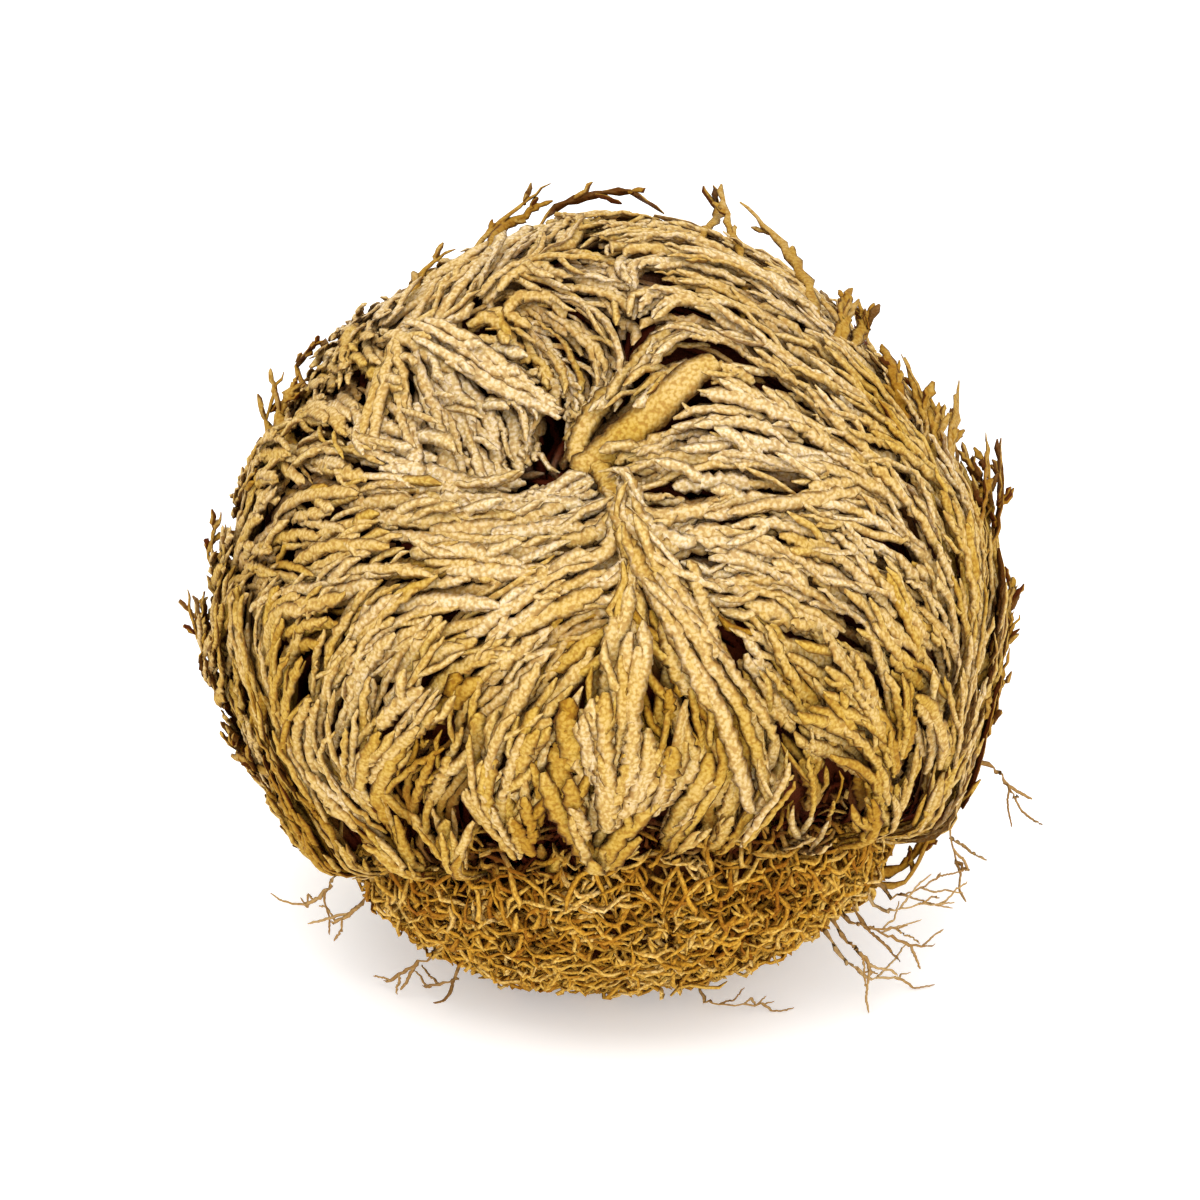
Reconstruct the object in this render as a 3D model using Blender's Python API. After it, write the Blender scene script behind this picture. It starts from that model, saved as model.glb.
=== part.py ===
"""A dried rose of jericho, curled up into a ball.

The plant is a tuft of scaly fronds round a short woody crown, with a mat of wiry roots under it.
Every frond leaves the crown at the root pole of the ball, climbs its side and curls in at the
hollow pole, which lies high on the front. The fronds follow the circles that pass through both
poles, turned by a swirl that grows towards the hollow.

Metres, +Z up, front towards -Y. The origin is the middle of the flat spot that the ball rests on.
"""

import cmath
import math
import random

import bmesh
import bpy
from mathutils import Vector

MM = 0.001

# The ball
BALL_CENTRE = Vector((0.0, 0.0, 39.5)) * MM
OUTER_RADIUS = 40.8 * MM  # to the middle line of the outer fronds, above the root mat
LAYER_STEP = 5.2 * MM  # from one layer of fronds to the next one in
LUMP = 0.9 * MM  # the ball is this much out of round
ROOT_POLE = Vector((0.08, -0.42, -0.90)).normalized()
HOLLOW_POLE = Vector((-0.175, -0.56, 0.81)).normalized()

# How the fronds lie, in degrees from the two poles and as radii along the way
CROWN_ANGLE = 20.0  # from the root pole to the fronds' cut bases
CROWN_RADIUS = 26.0 * MM
MAT_EDGE_ANGLE = 44.5
MAT_EDGE_RADIUS = 34.6 * MM
FULL_ANGLE = 55.0  # from here on the fronds lie on the outside of the ball
CURL_ANGLE = 30.0  # this near the hollow pole the fronds start to dive
CURL_DEPTH = 7.0 * MM
STEADY_SWIRL = 0.12
HOLLOW_SWIRL = 0.6
SWIRL_START = 0.2
SWIRL_SOFTNESS = 0.5
SWIRL_CHANGE = 0.7  # the swirl is this much less at the front, and this much more at the back
LEAST_SWIRL_TURN = 0.8

# One frond's section
FROND_THICKNESS = 1.5 * MM
RIDGE_HEIGHT = 1.2 * MM
SHINGLE = 1.3 * MM  # one edge stands this much out, and the other one in
OVERLAPS = (1.18, 1.14, 1.07)  # a frond's width in each layer, in parts of its share of the layer
EDGE_NOTCH = 0.14
FINGER_LENGTH = 2.2 * MM
FROND_ROWS = (10, 10, 9)
BASE_ROW_ANGLES = (20.0, 43.5, 48.0, 54.0)  # rows this far from the root pole, then even ones
PATH_STEPS = 240
PATH_LIMIT = 3.4  # how far the path parameter runs towards either pole

# (across, up): across is -1 to 1, and up is in ridge heights, or the inner side if None
OUTER_SECTION = ((-1.0, 0.0), (-0.62, 1.0), (-0.32, 0.1), (0.0, 1.0), (0.32, 0.1), (0.62, 1.0))
EDGE_POINT = (1.0, 0.0)
INNER_ACROSS = (0.6, 0.0, -0.6)

# The tips of each layer's fronds, in degrees from the hollow pole, from the back round the left
OUTER_TIPS = (24, 30, 20, 78, 18, 48, 16, 36, 15, 40, 17, 36, 24, 26, 84, 62, 34, 28)
MIDDLE_TIPS = (34, 14, 46, 13, 30, 12, 20, 12, 36, 12, 22, 14, 44, 13)
INNER_TIPS = (11, 26, 10, 34, 11, 20, 10, 28)
# Outer fronds whose tips stand off the ball: index to height
STRAY_TIPS = {3: 2.6 * MM, 5: 1.4 * MM, 14: 4.0 * MM, 15: 2.8 * MM}

# The root mat and the crown
MAT_ANGLE = 43.0
MAT_OUTER_RADIUS = 41.4 * MM
MAT_EDGE_OUTER_RADIUS = 39.2 * MM
MAT_INNER_RADIUS = 33.4 * MM
MAT_EDGE_INNER_RADIUS = 37.6 * MM
MAT_LUMP = 0.8 * MM
MAT_RIB = 0.6 * MM  # how far every second spoke stands out
MAT_RINGS = 6
MAT_SPOKES = 26
CROWN_HALF_ANGLE = 17.6
CROWN_INNER_RADIUS = 11.0 * MM
CROWN_OUTER_RADIUS = 32.6 * MM
CROWN_LOBES = 7

# Wiry roots that stand out of the mat: points as (right, back, up) in mm from the rest spot
ROOT_WIDTH = 0.8 * MM
ROOT_SIDES = 5
WIRY_ROOTS = (
    ((35.8, -10.0, 19.4), (37.8, -10.5, 16.1), (37.4, -12.0, 12.9), (40.2, -13.0, 14.2)),
    ((30.0, -19.0, 13.9), (31.8, -20.0, 14.6), (33.5, -20.0, 15.4), (35.7, -19.0, 16.5)),
    ((29.2, -20.0, 12.6), (31.2, -21.0, 13.3), (33.4, -21.0, 13.9), (36.9, -21.0, 14.0)),
    ((25.7, -21.0, 12.0), (27.5, -22.5, 12.0), (29.6, -22.5, 11.6), (32.0, -22.0, 11.8)),
    ((27.8, -18.5, 9.9), (29.7, -19.0, 9.4), (32.2, -19.0, 7.6), (35.1, -18.0, 7.4)),
    ((25.7, -20.5, 9.1), (27.2, -21.6, 8.2), (28.1, -21.8, 6.8), (28.3, -21.0, 5.0)),
    ((25.2, -17.5, 5.6), (27.1, -18.0, 4.1), (29.6, -17.0, 2.3), (32.9, -14.5, 1.9)),
    ((41.6, -4.0, 21.6), (43.2, -4.0, 20.1), (43.8, -4.5, 18.6), (45.2, -5.0, 18.1)),
    ((-28.9, -14.5, 13.6), (-30.0, -15.0, 11.9), (-31.2, -14.5, 10.4), (-32.6, -13.5, 9.9)),
    ((-25.9, -17.0, 11.9), (-27.2, -17.5, 10.7), (-28.2, -17.0, 9.7), (-29.5, -16.0, 8.9)),
    ((-18.6, -18.0, 6.1), (-20.6, -18.0, 4.6), (-22.0, -17.0, 3.0), (-23.8, -15.0, 1.0)),
    ((-15.3, -19.0, 4.3), (-16.6, -20.0, 4.0), (-18.2, -19.0, 2.7), (-19.6, -16.0, 1.0)),
    ((10.3, -20.0, 1.9), (12.2, -21.0, 1.8), (15.1, -21.0, 1.4), (18.1, -19.5, 1.2)),
)

SEED = 7


def clear_scene():
    for obj in list(bpy.data.objects):
        bpy.data.objects.remove(obj)


def make_material(name, colour, roughness):
    material = bpy.data.materials.new(name)
    material.use_nodes = True
    shader = material.node_tree.nodes["Principled BSDF"]
    shader.inputs["Base Color"].default_value = (*colour, 1.0)
    shader.inputs["Roughness"].default_value = roughness
    shader.inputs["Metallic"].default_value = 0.0
    return material


def link_mesh(name, vertices, faces, material):
    """A closed mesh from points and faces, with its normals turned outwards."""
    mesh = bpy.data.meshes.new(name)
    mesh.from_pydata([tuple(v) for v in vertices], [], faces)
    work = bmesh.new()
    work.from_mesh(mesh)
    bmesh.ops.recalc_face_normals(work, faces=work.faces)
    if work.calc_volume(signed=True) < 0:
        bmesh.ops.reverse_faces(work, faces=work.faces)
    work.to_mesh(mesh)
    work.free()
    mesh.materials.append(material)
    mesh.shade_smooth()
    mesh.set_sharp_from_angle(angle=math.radians(38))
    obj = bpy.data.objects.new(name, mesh)
    bpy.context.scene.collection.objects.link(obj)
    return obj


# Directions on the ball
POLE_MIDDLE = (ROOT_POLE + HOLLOW_POLE).normalized()
POLE_ALONG = (HOLLOW_POLE - ROOT_POLE).normalized()
POLE_SIDE = POLE_ALONG.cross(POLE_MIDDLE).normalized()
if POLE_SIDE.x < 0:
    POLE_SIDE = -POLE_SIDE
POLE_REACH = math.tan(POLE_MIDDLE.angle(HOLLOW_POLE) / 2)


def turn_of_side(side):
    """The path angle of a frond that crosses the ball's waist at this side angle, 0 at the front."""
    whole = round(side / (2 * math.pi))
    rest = side - 2 * math.pi * whole
    return 2 * math.atan2(math.sin(rest / 2), POLE_REACH * math.cos(rest / 2)) + 2 * math.pi * whole


def swirl(along, turn):
    bend = math.log1p(math.exp((along - SWIRL_START) / SWIRL_SOFTNESS)) * SWIRL_SOFTNESS
    change = 1 - SWIRL_CHANGE * math.cos(turn - LEAST_SWIRL_TURN)
    return (STEADY_SWIRL * along + HOLLOW_SWIRL * bend) * change


def direction(along, turn):
    """The unit vector at a path parameter, from the root pole to the hollow pole, and a path angle."""
    spot = POLE_REACH * cmath.tanh(complex(along, turn + swirl(along, turn)) / 2)
    square = abs(spot) ** 2
    flat = POLE_ALONG * (2 * spot.real) + POLE_SIDE * (2 * spot.imag)
    return (flat + POLE_MIDDLE * (1 - square)) / (1 + square)


def between(value, low, high):
    """0 at low, 1 at high, and smooth in between."""
    share = min(1.0, max(0.0, (value - low) / (high - low)))
    return share * share * (3 - 2 * share)


def ball_radius(way):
    """The middle line of the outer fronds in this direction."""
    root_angle = math.degrees(way.angle(ROOT_POLE))
    hollow_angle = math.degrees(way.angle(HOLLOW_POLE))
    if root_angle < MAT_EDGE_ANGLE:
        share = (root_angle - CROWN_ANGLE) / (MAT_EDGE_ANGLE - CROWN_ANGLE)
        radius = CROWN_RADIUS + (MAT_EDGE_RADIUS - CROWN_RADIUS) * share
    else:
        share = math.sin(math.pi / 2 * min(1, (root_angle - MAT_EDGE_ANGLE) / (FULL_ANGLE - MAT_EDGE_ANGLE)))
        radius = MAT_EDGE_RADIUS + (OUTER_RADIUS - MAT_EDGE_RADIUS) * share
    lump = math.sin(5.1 * way.x + 1.0) * math.cos(4.3 * way.y - 0.6) + 0.5 * math.sin(6.7 * way.z)
    dive = CURL_DEPTH * (1 - between(hollow_angle, 6.0, CURL_ANGLE))
    return radius + LUMP * 0.66 * lump * between(root_angle, MAT_EDGE_ANGLE, FULL_ANGLE) - dive


def frond_path(turn, tip_angle):
    """Path parameters, angles from the root pole and lengths, from the crown to the frond's tip."""
    path = []
    length = 0.0
    last = None
    for i in range(PATH_STEPS + 1):
        along = PATH_LIMIT * (2 * i / PATH_STEPS - 1)
        way = direction(along, turn)
        root_angle = math.degrees(way.angle(ROOT_POLE))
        if root_angle < CROWN_ANGLE and not path:
            continue
        if along > 0 and math.degrees(way.angle(HOLLOW_POLE)) < tip_angle:
            break
        spot = way * ball_radius(way)
        length += (spot - last).length if last else 0.0
        path.append((along, root_angle, length))
        last = spot
    return path


def row_lengths(path, rows):
    """How far along the path each row of the frond lies: some near the mat's edge, then even ones."""
    lengths = []
    for angle in BASE_ROW_ANGLES:
        lengths.append(next(length for _, root_angle, length in path if root_angle >= angle))
    rest = rows + 1 - len(lengths)
    left = path[-1][2] - lengths[-1]
    start = lengths[-1]
    return lengths + [start + left * (i + 1) / rest for i in range(rest)]


def at_length(path, wanted):
    """The path parameter at a distance along it, which may run a little past the tip."""
    before = path[0]
    for after in path[1:]:
        if after[2] >= wanted:
            break
        before = after
    else:
        before = path[-2]
    share = (wanted - before[2]) / (after[2] - before[2])
    return before[0] + share * (after[0] - before[0])


def width_share(share):
    """A frond's width along its length, as a part of its widest."""
    swell = 0.55 + 0.45 * between(share, 0.0, 0.35)
    taper = 1 - 0.72 * between(share, 0.62, 1.0)
    return swell * taper


def make_frond(name, layer, turn, half_turn, tip_angle, stray, material):
    """A curled, ridged blade with notched edges and fingers at its tip."""
    path = frond_path(turn, tip_angle)
    whole = path[-1][2]
    vertices = []
    rows = FROND_ROWS[layer]
    for row, length in enumerate(row_lengths(path, rows)):
        share = length / whole
        notch = 1 - EDGE_NOTCH * (row % 2)
        half = half_turn * OVERLAPS[layer] * width_share(share) * (0.62 if stray else 1.0)
        lift = stray * between(share, 0.72, 1.0)
        outer = list(OUTER_SECTION) + [EDGE_POINT]
        section = [(across, up, True) for across, up in outer]
        section += [(across, 0.0, False) for across in INNER_ACROSS]
        for across, up, outside in section:
            reach = FINGER_LENGTH * (up - 0.5) * 2 if outside and row == rows else 0.0
            along = at_length(path, length + reach)
            edge = across * (notch if abs(across) == 1 else 1.0)
            way = direction(along, turn + edge * half)
            radius = ball_radius(way) - layer * LAYER_STEP + SHINGLE * across + lift
            thin = 1 - 0.45 * between(share, 0.7, 1.0)
            radius += RIDGE_HEIGHT * up * thin if outside else -FROND_THICKNESS * thin
            vertices.append(BALL_CENTRE + way * radius)
    around = len(OUTER_SECTION) + 1 + len(INNER_ACROSS)
    faces = []
    for row in range(rows):
        for k in range(around):
            a, b = row * around + k, row * around + (k + 1) % around
            faces.append((a, b, b + around, a + around))
    faces.append(tuple(range(around)))
    faces.append(tuple(range(rows * around, (rows + 1) * around)))
    return link_mesh(name, vertices, faces, material)


def make_layer(name, layer, tips, strays, material, dice):
    """A ring of fronds that lie side by side like shingles."""
    count = len(tips)
    cuts = [-math.pi + 2 * math.pi * (k + dice.uniform(-0.16, 0.16)) / count for k in range(count)]
    cuts.append(cuts[0] + 2 * math.pi)
    for i, tip_angle in enumerate(tips):
        first, last = turn_of_side(cuts[i]), turn_of_side(cuts[i + 1])
        make_frond(
            f"{name}_{i + 1:02d}",
            layer,
            (first + last) / 2,
            (last - first) / 2,
            tip_angle,
            strays.get(i, 0.0),
            material,
        )


def axes_round(pole):
    side = pole.cross(Vector((0, 0, 1))).normalized()
    return side, pole.cross(side).normalized()


def round_pole(pole, angle, spoke):
    """The unit vector at this many degrees from a pole, in the direction of a spoke in radians."""
    side, other = axes_round(pole)
    tilt = math.radians(angle)
    return pole * math.cos(tilt) + (side * math.cos(spoke) + other * math.sin(spoke)) * math.sin(tilt)


def make_root_mat(material, dice):
    """The bowl of matted roots under the fronds, with the flat spot that the plant rests on."""
    vertices = [BALL_CENTRE + ROOT_POLE * MAT_OUTER_RADIUS]
    faces = []

    def add_ring(angle, radius, lump):
        start = len(vertices)
        for spoke in range(MAT_SPOKES):
            turn = 2 * math.pi * spoke / MAT_SPOKES
            rough = lump * dice.uniform(-1, 1) + (MAT_RIB if spoke % 2 and lump else 0.0)
            edge = angle + (1.2 * math.sin(3 * turn) + dice.uniform(-0.8, 0.8)) * (angle / MAT_ANGLE) ** 3
            way = round_pole(ROOT_POLE, edge, turn)
            vertices.append(BALL_CENTRE + way * (radius + rough))
        return start

    starts = []
    for ring in range(1, MAT_RINGS + 1):
        share = ring / MAT_RINGS
        radius = MAT_OUTER_RADIUS + (MAT_EDGE_OUTER_RADIUS - MAT_OUTER_RADIUS) * share**2
        starts.append(add_ring(MAT_ANGLE * share, radius, MAT_LUMP * (1 - 0.6 * share)))
    starts.append(add_ring(MAT_ANGLE * 0.97, MAT_EDGE_INNER_RADIUS, 0.0))
    starts.append(add_ring(MAT_ANGLE * 0.5, (MAT_INNER_RADIUS + MAT_EDGE_INNER_RADIUS) / 2 - MM, 0.0))
    vertices.append(BALL_CENTRE + ROOT_POLE * MAT_INNER_RADIUS)
    top = len(vertices) - 1
    for spoke in range(MAT_SPOKES):
        after = (spoke + 1) % MAT_SPOKES
        faces.append((0, starts[0] + spoke, starts[0] + after))
        for near, far in zip(starts, starts[1:]):
            faces.append((near + spoke, far + spoke, far + after, near + after))
        faces.append((starts[-1] + spoke, top, starts[-1] + after))
    mat = link_mesh("root_mat", vertices, faces, material)
    cut_flat(mat)
    return mat


def cut_flat(obj):
    """Cuts away what lies under the table top, and closes the cut with one flat face."""
    work = bmesh.new()
    work.from_mesh(obj.data)
    geometry = list(work.verts) + list(work.edges) + list(work.faces)
    cut = bmesh.ops.bisect_plane(
        work, geom=geometry, plane_co=(0, 0, 0), plane_no=(0, 0, -1), clear_outer=True
    )
    rim = [part for part in cut["geom_cut"] if isinstance(part, bmesh.types.BMEdge)]
    bmesh.ops.holes_fill(work, edges=rim, sides=0)
    bmesh.ops.recalc_face_normals(work, faces=work.faces)
    work.to_mesh(obj.data)
    work.free()


def make_crown(material, dice):
    """The short woody stem, lobed where the fronds leave it."""
    rings = 4
    sides = 2 * CROWN_LOBES
    vertices = []
    for ring in range(rings + 1):
        share = ring / rings
        radius = CROWN_INNER_RADIUS + (CROWN_OUTER_RADIUS - CROWN_INNER_RADIUS) * share
        for k in range(sides):
            angle = CROWN_HALF_ANGLE * (1.0 if k % 2 else 0.84) * dice.uniform(0.93, 1.0)
            way = round_pole(ROOT_POLE, angle, 2 * math.pi * k / sides)
            vertices.append(BALL_CENTRE + way * radius)
    faces = [tuple(range(sides)), tuple(range(rings * sides, (rings + 1) * sides))]
    for ring in range(rings):
        for k in range(sides):
            a, b = ring * sides + k, ring * sides + (k + 1) % sides
            faces.append((a, b, b + sides, a + sides))
    return link_mesh("root_crown", vertices, faces, material)


def smooth_through(points, steps):
    """Points of a smooth curve through the given ones."""
    ends = [points[0] * 2 - points[1]] + points + [points[-1] * 2 - points[-2]]
    made = []
    for i in range(1, len(ends) - 2):
        p0, p1, p2, p3 = ends[i - 1 : i + 3]
        for step in range(steps):
            t = step / steps
            made.append(
                0.5
                * (
                    2 * p1
                    + (p2 - p0) * t
                    + (2 * p0 - 5 * p1 + 4 * p2 - p3) * t**2
                    + (3 * p1 - p0 - 3 * p2 + p3) * t**3
                )
            )
    made.append(ends[-2])
    return made


def make_wiry_root(name, points, material):
    """A thin root that stands out of the mat."""
    line = smooth_through([Vector(p) * MM for p in points], 2)
    vertices = []
    for i, spot in enumerate(line):
        ahead = (line[min(i + 1, len(line) - 1)] - line[max(i - 1, 0)]).normalized()
        side = ahead.cross(Vector((0, 0, 1))).normalized()
        up = side.cross(ahead)
        half = ROOT_WIDTH / 2 * (1 - 0.4 * i / (len(line) - 1))
        for k in range(ROOT_SIDES):
            turn = 2 * math.pi * k / ROOT_SIDES
            vertices.append(spot + (side * math.cos(turn) + up * math.sin(turn)) * half)
    faces = [tuple(range(ROOT_SIDES)), tuple(range(len(vertices) - ROOT_SIDES, len(vertices)))]
    for i in range(len(line) - 1):
        for k in range(ROOT_SIDES):
            a, b = i * ROOT_SIDES + k, i * ROOT_SIDES + (k + 1) % ROOT_SIDES
            faces.append((a, b, b + ROOT_SIDES, a + ROOT_SIDES))
    return link_mesh(name, vertices, faces, material)


def main():
    clear_scene()
    dice = random.Random(SEED)
    straw = make_material("straw_frond", (0.60, 0.42, 0.16), 0.75)
    dull_straw = make_material("dull_straw_frond", (0.42, 0.27, 0.09), 0.8)
    brown_straw = make_material("brown_frond", (0.25, 0.14, 0.05), 0.85)
    root_brown = make_material("matted_root", (0.30, 0.17, 0.05), 0.85)
    wood = make_material("crown_wood", (0.16, 0.08, 0.03), 0.8)
    wire = make_material("wiry_root", (0.33, 0.24, 0.14), 0.7)
    make_layer("outer_frond", 0, OUTER_TIPS, STRAY_TIPS, straw, dice)
    make_layer("middle_frond", 1, MIDDLE_TIPS, {}, dull_straw, dice)
    make_layer("inner_frond", 2, INNER_TIPS, {}, brown_straw, dice)
    make_root_mat(root_brown, dice)
    make_crown(wood, dice)
    for i, points in enumerate(WIRY_ROOTS):
        make_wiry_root(f"wiry_root_{i + 1:02d}", points, wire)


main()
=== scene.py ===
"""The look of a dried rose of jericho: scaly branchlets on every frond, over a tangle of fine roots.

Each branchlet is a flattened cord with toothed edges that lies on the ball. It follows the way the
fronds grow: the curves from the root pole to the hollow pole that the solids follow, turned on the
front to the headings that the photograph shows. A frond's branchlets stand for its solid.
"""

import math

import bpy
import numpy as np
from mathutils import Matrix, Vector
from mathutils.bvhtree import BVHTree
from numpy.linalg import norm


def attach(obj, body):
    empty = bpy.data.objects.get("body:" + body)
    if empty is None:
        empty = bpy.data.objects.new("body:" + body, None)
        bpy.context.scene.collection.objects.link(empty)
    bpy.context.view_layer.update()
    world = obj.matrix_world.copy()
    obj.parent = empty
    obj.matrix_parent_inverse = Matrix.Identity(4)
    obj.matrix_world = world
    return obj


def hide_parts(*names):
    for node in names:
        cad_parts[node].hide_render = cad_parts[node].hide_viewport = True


MM = 0.001
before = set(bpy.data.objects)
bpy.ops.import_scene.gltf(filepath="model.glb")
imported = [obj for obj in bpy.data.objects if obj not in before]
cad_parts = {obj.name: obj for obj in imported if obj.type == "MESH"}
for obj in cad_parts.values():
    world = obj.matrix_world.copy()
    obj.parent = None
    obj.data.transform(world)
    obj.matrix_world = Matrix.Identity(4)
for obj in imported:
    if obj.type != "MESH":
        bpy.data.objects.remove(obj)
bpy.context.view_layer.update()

# The ball and the way its fronds grow, as in the solids
BALL_CENTRE = np.array((0.0, 0.0, 39.5)) * MM
BALL_RADIUS = 43.0 * MM
OUTER_RADIUS = 40.8 * MM
LUMP = 0.6 * MM
MAT_EDGE_ANGLE = 44.5
MAT_EDGE_RADIUS = 36.6 * MM
FULL_ANGLE = 53.0
CURL_ANGLE = 30.0
CURL_DEPTH = 7.0 * MM
STEADY_SWIRL = 0.12
HOLLOW_SWIRL = 0.6
SWIRL_START = 0.2
SWIRL_SOFTNESS = 0.5
SWIRL_CHANGE = 0.7
LEAST_SWIRL_TURN = 0.8

# The camera, and the photograph's scale
CAMERA_DISTANCE = 500.0 * MM
CAMERA_ELEVATION = math.radians(25)
PHOTO_PIXELS = 1200
PIXEL = 0.1075 * MM
BALL_PIXEL = (605, 600)
SENSOR = 36.0

# Where the ball is fuller or flatter than round: (degrees anticlockwise from the right on the
# photograph, height, degrees that it reaches)
SHOULDERS = (
    (34, -2.8 * MM, 20), (72, -1.7 * MM, 14), (108, -2.3 * MM, 24), (155, -1.9 * MM, 22),
    (187, 1.5 * MM, 10), (235, -0.9 * MM, 10), (325, 2.6 * MM, 14),
)

# Where the tips point on the photograph: (x, y, degrees anticlockwise from the right)
HEADINGS = (
    (260, 485, 22), (320, 478, 350), (380, 462, 330), (450, 420, 304), (418, 376, 315),
    (360, 400, 288), (470, 348, 338), (225, 500, 50), (370, 521, 355), (450, 531, 350),
    (500, 560, 346), (510, 474, 14), (575, 500, 5), (300, 562, 14), (404, 560, 2),
    (280, 592, 24), (380, 600, 32), (456, 590, 17), (530, 586, 28), (590, 568, 346),
    (455, 620, 24), (520, 630, 30), (365, 660, 58), (310, 650, 40), (430, 687, 60),
    (275, 655, 70), (240, 680, 100), (515, 673, 32), (332, 700, 76), (528, 700, 44),
    (501, 780, 54), (420, 775, 52), (385, 775, 74), (464, 765, 78), (559, 788, 88),
    (600, 767, 88), (357, 830, 136), (300, 805, 122), (460, 850, 116), (493, 855, 84),
    (537, 850, 96), (565, 870, 90), (612, 865, 36), (571, 299, 325), (615, 322, 304),
    (560, 270, 345), (515, 225, 38), (435, 275, 48), (557, 390, 250), (628, 401, 207),
    (715, 343, 167), (776, 352, 154), (735, 268, 166), (795, 285, 150), (650, 325, 212),
    (885, 415, 138), (955, 500, 120), (1000, 540, 98), (822, 415, 142), (870, 445, 150),
    (730, 427, 160), (700, 448, 182), (805, 450, 166), (820, 487, 180), (700, 513, 190),
    (750, 533, 192), (700, 545, 202), (812, 547, 156), (895, 570, 140), (756, 590, 180),
    (780, 640, 154), (845, 660, 136), (920, 630, 138), (950, 595, 116), (640, 540, 116),
    (670, 606, 120), (704, 640, 110), (670, 736, 104), (641, 720, 92), (707, 714, 114),
    (739, 690, 104), (768, 780, 94), (800, 680, 152), (845, 735, 136), (905, 710, 112),
    (952, 720, 98), (885, 835, 106), (930, 800, 76), (692, 809, 54), (610, 790, 94),
)
HEADING_REACH = 0.10  # radians over which a heading holds
GROWTH_WEIGHT = 0.06  # how much the growing direction counts against the headings

# Dark openings on the photograph: (x, y, half length, half width in pixels, heading)
GAPS = (
    (536, 396, 32, 17, 84), (524, 436, 24, 15, 20), (556, 449, 24, 9, 0), (700, 338, 48, 7, 172),
    (790, 384, 36, 7, 148),
    (643, 300, 24, 12, 20), (460, 304, 26, 6, 172), (588, 230, 12, 10, 90), (693, 484, 13, 6, 25),
    (740, 483, 12, 6, 30), (690, 556, 18, 9, 25), (745, 642, 22, 9, 145), (743, 678, 26, 5, 95),
    (797, 753, 18, 12, 90), (852, 790, 26, 18, 150), (822, 840, 30, 11, 20), (908, 778, 14, 10, 60),
    (857, 641, 14, 8, 150), (892, 573, 18, 6, 142), (583, 693, 22, 10, 35), (600, 850, 18, 8, 25),
    (410, 823, 14, 6, 20), (292, 797, 18, 6, 120), (358, 833, 24, 4, 137), (364, 528, 22, 5, 170),
    (268, 521, 12, 6, 170), (265, 545, 12, 6, 30), (345, 359, 10, 8, 30), (350, 396, 12, 5, 90),
    (578, 546, 22, 4, 170), (260, 648, 12, 8, 80), (622, 442, 13, 7, 90), (728, 600, 20, 5, 178),
    (537, 862, 14, 7, 60), (650, 690, 22, 4, 92), (432, 735, 20, 4, 62), (785, 486, 34, 4, 180),
    (640, 398, 84, 19, 30), (577, 390, 44, 15, 66), (603, 452, 22, 12, 90), (662, 606, 22, 8, 140),
    (655, 678, 24, 5, 150), (520, 880, 26, 7, 20), (612, 380, 36, 11, 48),
)

# Lines of branchlets that stand out: the pixels they pass through, height and half width
RISES = (
    (((630, 505), (668, 585), (705, 655), (742, 730), (772, 820)), 1.5 * MM, 15),
    (((395, 322), (470, 345), (545, 380)), 1.4 * MM, 12),
    (((640, 650), (590, 700), (560, 790)), 0.8 * MM, 12),
    (((650, 330), (760, 335), (880, 420), (975, 560)), 0.9 * MM, 30),
)

# The bundle that runs down from the hollow: pixels from each tip to its base
BUNDLE = (
    ((612, 480), (640, 535), (668, 592), (700, 645), (730, 700)),
    ((605, 468), (626, 528), (652, 588), (680, 640), (700, 692)),
    ((622, 500), (652, 552), (684, 606), (716, 658)),
    ((690, 560), (702, 602), (714, 645)),
    ((640, 560), (662, 612), (690, 664), (708, 708)),
    ((616, 515), (636, 562), (655, 598)),
    ((698, 645), (735, 702), (758, 758), (772, 815)),
    ((686, 650), (716, 705), (738, 762), (752, 815)),
    ((708, 640), (748, 694), (776, 742)),
)

# The pale crest over the hollow, and the curled tips behind it
CREST = (
    ((552, 368), (520, 353), (480, 337), (440, 322), (402, 318)),
    ((548, 374), (505, 356), (455, 340), (408, 330)),
    ((545, 360), (510, 345), (470, 328), (428, 320)),
    ((552, 380), (515, 364), (472, 350), (430, 342)),
    ((520, 342), (490, 330), (452, 316), (420, 312)),
)
CURLS = (
    ((556, 340), (550, 318), (528, 302), (500, 294), (470, 300)),
    ((545, 346), (540, 330), (520, 322), (498, 330)),
    ((505, 310), (480, 304), (452, 312)),
    ((514, 346), (530, 338), (536, 322), (520, 310), (505, 316)),
    ((575, 345), (572, 322), (556, 300), (530, 286)),
    ((600, 330), (588, 306), (566, 290), (540, 280)),
    ((492, 286), (512, 272), (540, 270), (562, 282)),
    ((560, 262), (540, 250), (512, 256), (490, 270)),
    ((566, 340), (578, 352), (574, 366), (560, 362)),
)

# The lines drawn above: their height over the ball, width, and range of tints
DRAWN = (
    (BUNDLE, 2.0 * MM, 1.9 * MM, (0.35, 0.7)),
    (CREST, 2.6 * MM, 1.5 * MM, (0.7, 1.0)),
    (CURLS, 1.0 * MM, 1.5 * MM, (0.3, 0.7)),
)

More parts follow.
